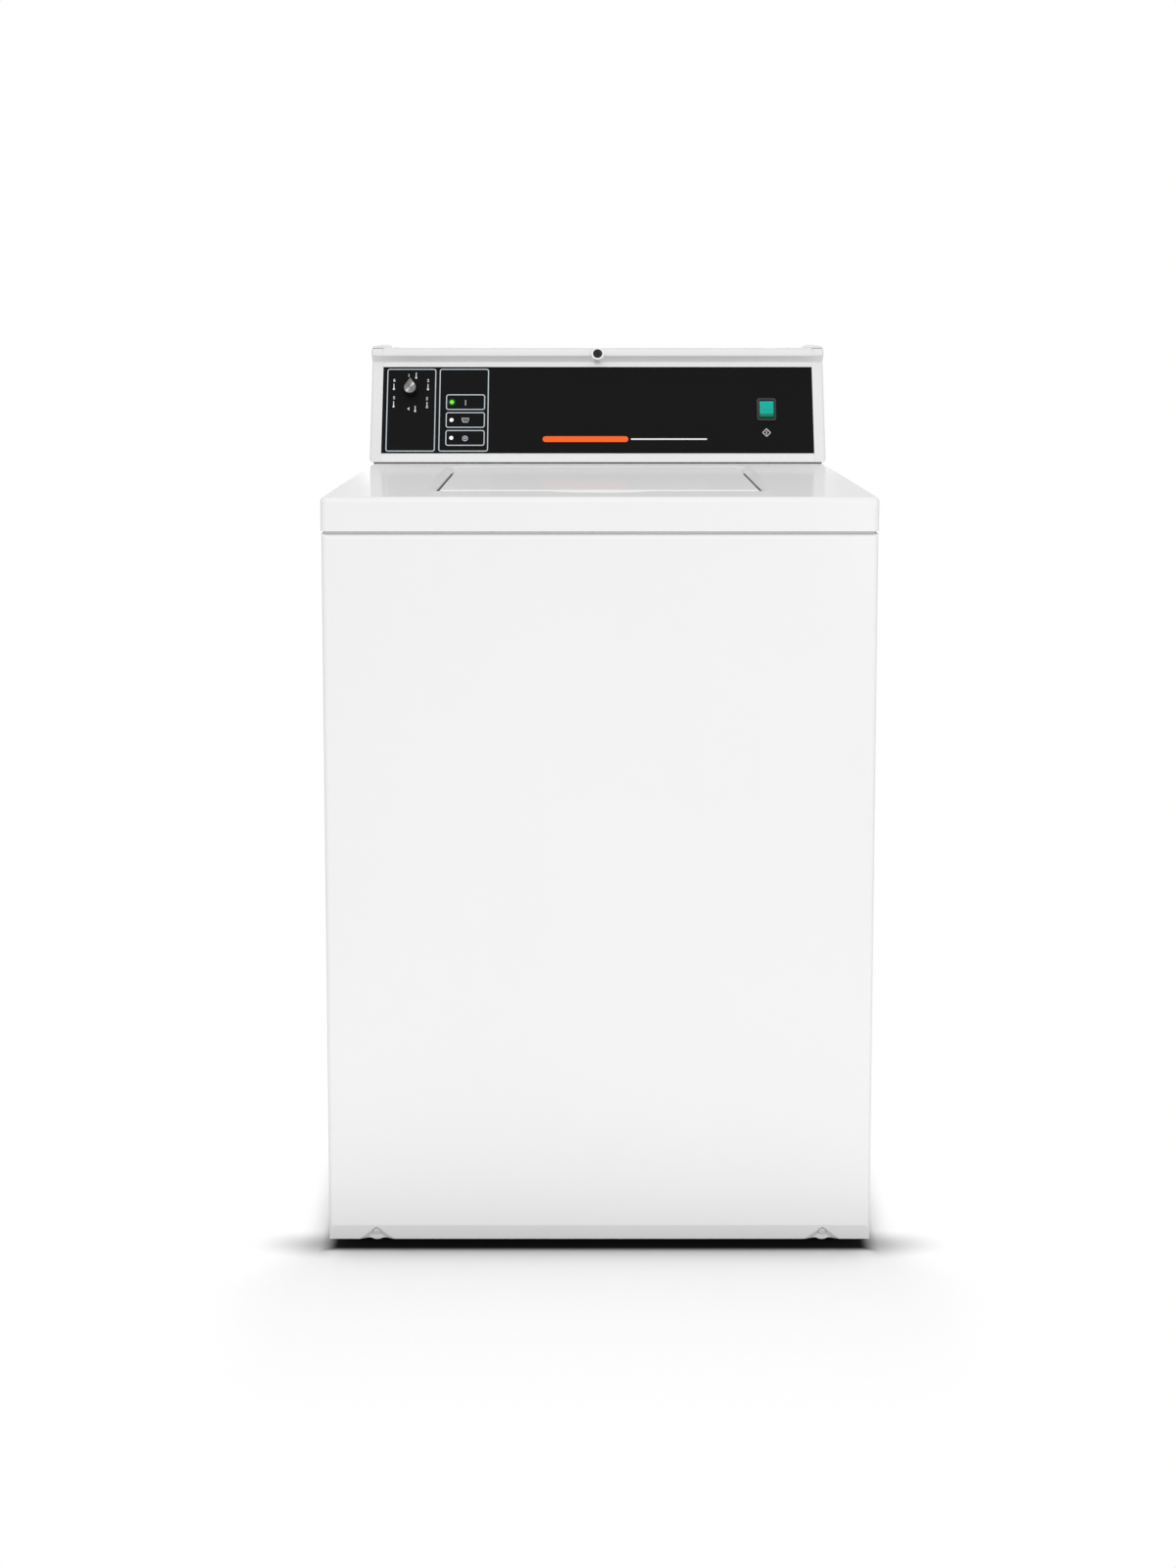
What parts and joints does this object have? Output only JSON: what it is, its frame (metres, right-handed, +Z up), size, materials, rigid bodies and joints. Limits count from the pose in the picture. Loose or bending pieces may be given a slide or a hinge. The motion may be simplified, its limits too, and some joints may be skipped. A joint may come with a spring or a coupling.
{
  "type": "top load washing machine",
  "caption": "Top load washing machine: white cabinet, lid hinged in the deck, leaning rear control hood with selector knob and start switch, agitator and spin basket on a belt drive inside.",
  "frame": {"origin": "on the floor, under the centre of the machine's overall box", "axes": "-Y is the front, +X is to the right seen from the front, +Z is up"},
  "size_m": [0.651, 0.711, 1.0805],
  "materials": {
    "white_enamel": "gloss white enamel",
    "hood_white": "satin white",
    "overlay_black": "printed black film",
    "zinc_steel": "zinc plated",
    "rubber_black": "black rubber",
    "pad_grey": "felted friction lining",
    "nylon_white": "white nylon",
    "plastic_black": "black moulding",
    "chrome_collar": "bright plated",
    "knob_metal": "spun face",
    "start_green": "green moulding",
    "lamp_clear": "clear lens",
    "board_green": "circuit board",
    "valve_plastic": "glass filled nylon",
    "enamel_tub": "porcelain enamel",
    "stainless": "brushed stainless",
    "cast_iron": "cast alloy",
    "bearing_steel": "ground steel",
    "motor_paint": "black paint",
    "agitator_plastic": "white polypropylene"
  },
  "bodies": {
    "cabinet": {"base_pan": "zinc_steel", "leveling_legs": "zinc_steel", "foot_pads": "rubber_black", "friction_pads": "pad_grey", "cabinet_wrap": "white_enamel", "front_panel": "white_enamel", "front_panel_screws": "zinc_steel", "cabinet_top": "white_enamel", "lid_hinge_bushings": "nylon_white", "lid_switch": "plastic_black", "hood_gasket": "rubber_black", "hood_end_left": "hood_white", "hood_end_right": "hood_white", "hood_rail": "hood_white", "hood_face": "white_enamel", "graphic_overlay": "overlay_black", "hood_rear_cover": "white_enamel", "lock_collar": "chrome_collar", "selector_switch": "plastic_black", "start_switch": "plastic_black", "status_lamps": "lamp_clear", "control_board": "board_green", "pressure_switch": "plastic_black", "service_tray": "zinc_steel", "cord_bushing": "rubber_black", "mixing_valve": "valve_plastic", "fill_nozzle": "nylon_white", "fill_hose": "rubber_black", "drain_hose": "rubber_black", "centering_springs": "zinc_steel"},
    "lid": {"lid": "white_enamel", "lid_hinge_pins": "zinc_steel", "lid_bumpers": "rubber_black"},
    "selector": {"selector_knob": "knob_metal"},
    "start": {"start_rocker": "start_green"},
    "lock": {"lock_plug": "plastic_black"},
    "tub_unit": {"pivot_dome": "zinc_steel", "tub_struts": "zinc_steel", "motor_plate": "zinc_steel", "outer_tub": "enamel_tub", "tub_cover": "nylon_white", "bearing_housing": "cast_iron", "main_bearings": "bearing_steel", "motor": "motor_paint", "pump": "plastic_black", "drive_belt": "rubber_black", "pump_belt": "rubber_black", "sump_hose": "rubber_black"},
    "spin_unit": {"wash_basket": "stainless", "balance_ring": "nylon_white", "basket_hub": "cast_iron", "spin_tube": "zinc_steel", "transmission": "cast_iron", "drive_pulley": "cast_iron"},
    "agitator": {"agitator": "agitator_plastic", "agitator_cap": "agitator_plastic", "agitator_shaft": "zinc_steel"},
    "motor_rotor": {"motor_pulley": "cast_iron"},
    "pump_rotor": {"pump_impeller": "plastic_black", "pump_pulley": "plastic_black"}
  },
  "joints": [
    {"name": "lid_swing", "type": "hinge", "parent": "cabinet", "child": "lid", "pos_m": [0, 0.0955, 0.905], "axis": [-1, 0, 0], "range_deg": [0, 105]},
    {"name": "selector_turn", "type": "hinge", "parent": "cabinet", "child": "selector", "pos_m": [-0.2684, 0.20975, 1.01561], "axis": [0, -0.9397, 0.342], "continuous": true},
    {"name": "start_press", "type": "hinge", "parent": "cabinet", "child": "start", "pos_m": [0.2421, 0.20206, 0.98861], "axis": [1, 0, 0], "range_deg": [0, 8], "stiffness_Nm_per_rad": 0.2, "springref_deg": -5.73},
    {"name": "lock_turn", "type": "hinge", "parent": "cabinet", "child": "lock", "pos_m": [0, 0.22675, 1.06231], "axis": [0, -0.9397, 0.342], "range_deg": [0, 90]},
    {"name": "tub_rock", "type": "hinge", "parent": "cabinet", "child": "tub_unit", "pos_m": [0, -0.035, -0.16218], "axis": [0, 1, 0], "range_deg": [-0.8, 0.8], "stiffness_Nm_per_rad": 3000, "deforming": ["centering_springs", "drain_hose"]},
    {"name": "basket_spin", "type": "hinge", "parent": "tub_unit", "child": "spin_unit", "pos_m": [0, -0.035, 0.35], "axis": [0, 0, 1], "continuous": true},
    {"name": "agitator_stroke", "type": "hinge", "parent": "spin_unit", "child": "agitator", "pos_m": [0, -0.035, 0.5], "axis": [0, 0, 1], "range_deg": [-105, 105]},
    {"name": "motor_spin", "type": "hinge", "parent": "tub_unit", "child": "motor_rotor", "pos_m": [0.04, -0.264, 0.2], "axis": [0, 0, 1], "continuous": true},
    {"name": "pump_spin", "type": "hinge", "parent": "tub_unit", "child": "pump_rotor", "pos_m": [-0.12, -0.24, 0.15], "axis": [0, 0, 1], "continuous": true}
  ],
  "couplings": [
    {"joint": "motor_spin", "follows": "basket_spin", "ratio": 3.5424},
    {"joint": "pump_spin", "follows": "basket_spin", "ratio": 2.8022}
  ]
}
